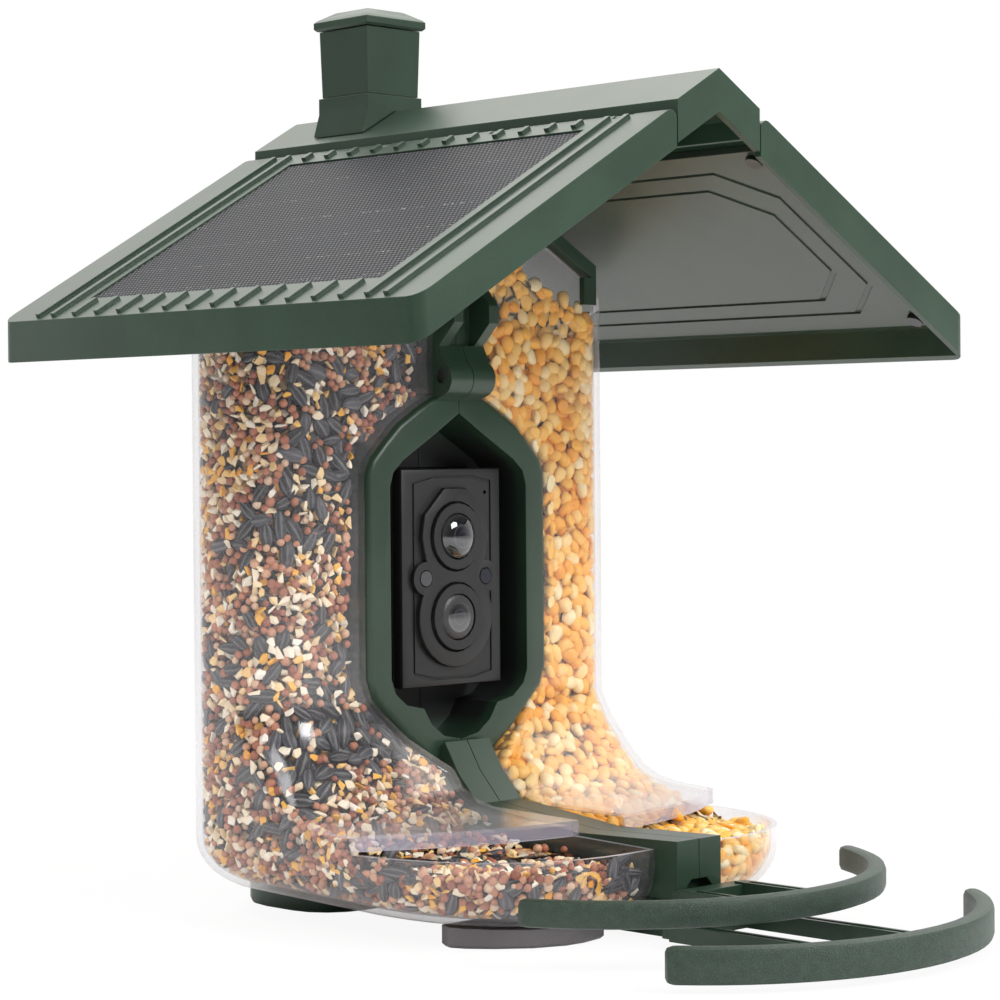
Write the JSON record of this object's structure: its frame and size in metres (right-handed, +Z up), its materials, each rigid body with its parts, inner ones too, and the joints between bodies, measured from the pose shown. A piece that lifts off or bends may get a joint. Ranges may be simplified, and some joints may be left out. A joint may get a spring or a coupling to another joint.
{
  "type": "camera bird feeder",
  "caption": "Smart bird feeder: clear seed hoppers with open trays on a green frame, camera in a ring, hinged solar gable roof with chimney, curved double perch.",
  "frame": {"origin": "on the ground at the centre of the rear foot's underside", "axes": "+Z up, -Y the way the camera looks, +X to the feeder's left as it looks out (the viewer's right)"},
  "size_m": [0.2526, 0.278, 0.3028],
  "materials": {
    "green_plastic": "dark green, slightly glossy",
    "grained_green_plastic": "dark green, grained",
    "clear_plastic": "clear, faintly frosted",
    "frosted_grey_plastic": "grey, translucent",
    "solar_glass": "dark grey-blue under clear resin",
    "steel": "plain",
    "black_plastic": "matte",
    "black_rubber": "matte",
    "lens_glass": "dark, polished",
    "circuit_board": "satin",
    "battery_sleeve": "shrink sleeve"
  },
  "bodies": {
    "feeder": {"left_hopper": "clear_plastic", "right_hopper": "clear_plastic", "left_frame_half": "green_plastic", "right_frame_half": "green_plastic", "top_bracket": "green_plastic", "ridge_beam": "green_plastic", "ridge_cap": "green_plastic", "chimney_base": "green_plastic", "chimney_body": "green_plastic", "chimney_cap": "green_plastic", "rear_foot": "green_plastic", "left_front_foot": "frosted_grey_plastic", "right_front_foot": "frosted_grey_plastic", "perch_socket": "green_plastic", "left_hinge_pin": "steel", "right_hinge_pin": "steel", "frame_screw_1": "steel", "frame_screw_2": "steel", "frame_screw_3": "steel"},
    "left_roof": {"left_roof_panel": "green_plastic", "left_solar_panel": "solar_glass", "left_roof_liner": "green_plastic", "left_liner_screw_1": "steel", "left_liner_screw_2": "steel", "left_liner_screw_3": "steel", "left_liner_screw_4": "steel"},
    "right_roof": {"right_roof_panel": "green_plastic", "right_solar_panel": "solar_glass", "right_roof_liner": "green_plastic", "right_liner_screw_1": "steel", "right_liner_screw_2": "steel", "right_liner_screw_3": "steel", "right_liner_screw_4": "steel"},
    "camera": {"camera_face_plate": "black_plastic", "camera_seal": "black_rubber", "camera_housing": "black_plastic", "camera_rear_cover": "black_plastic", "camera_port_plug": "black_rubber", "upper_lens_ring": "black_plastic", "upper_lens": "lens_glass", "upper_lens_barrel": "black_plastic", "lower_lens_ring": "black_plastic", "lower_lens": "lens_glass", "lower_lens_barrel": "black_plastic", "led_window": "lens_glass", "sensor_window": "lens_glass", "circuit_board": "circuit_board", "battery": "battery_sleeve", "camera_screw_1": "steel", "camera_screw_2": "steel", "camera_screw_3": "steel", "camera_screw_4": "steel"},
    "power_button": {"power_button": "black_rubber"},
    "perch": {"perch_frame": "green_plastic", "perch_inner_bar": "grained_green_plastic", "perch_outer_bar": "grained_green_plastic"}
  },
  "joints": [
    {"name": "left_roof_hinge", "type": "hinge", "parent": "feeder", "child": "left_roof", "pos_m": [-0.02215, 0, 0.25091], "axis": [0, 1, 0], "range_deg": [0, 100]},
    {"name": "right_roof_hinge", "type": "hinge", "parent": "feeder", "child": "right_roof", "pos_m": [0.02215, 0, 0.25091], "axis": [0, -1, 0], "range_deg": [0, 100]},
    {"name": "camera_slide", "type": "slide", "parent": "feeder", "child": "camera", "axis": [0, -1, 0], "range_m": [0, 0.06]},
    {"name": "power_button_press", "type": "slide", "parent": "camera", "child": "power_button", "axis": [0, 0, -1], "range_m": [0, 0.0012], "stiffness_N_per_m": 800},
    {"name": "perch_slide", "type": "slide", "parent": "feeder", "child": "perch", "axis": [0, -1, 0], "range_m": [0, 0.03]}
  ]
}
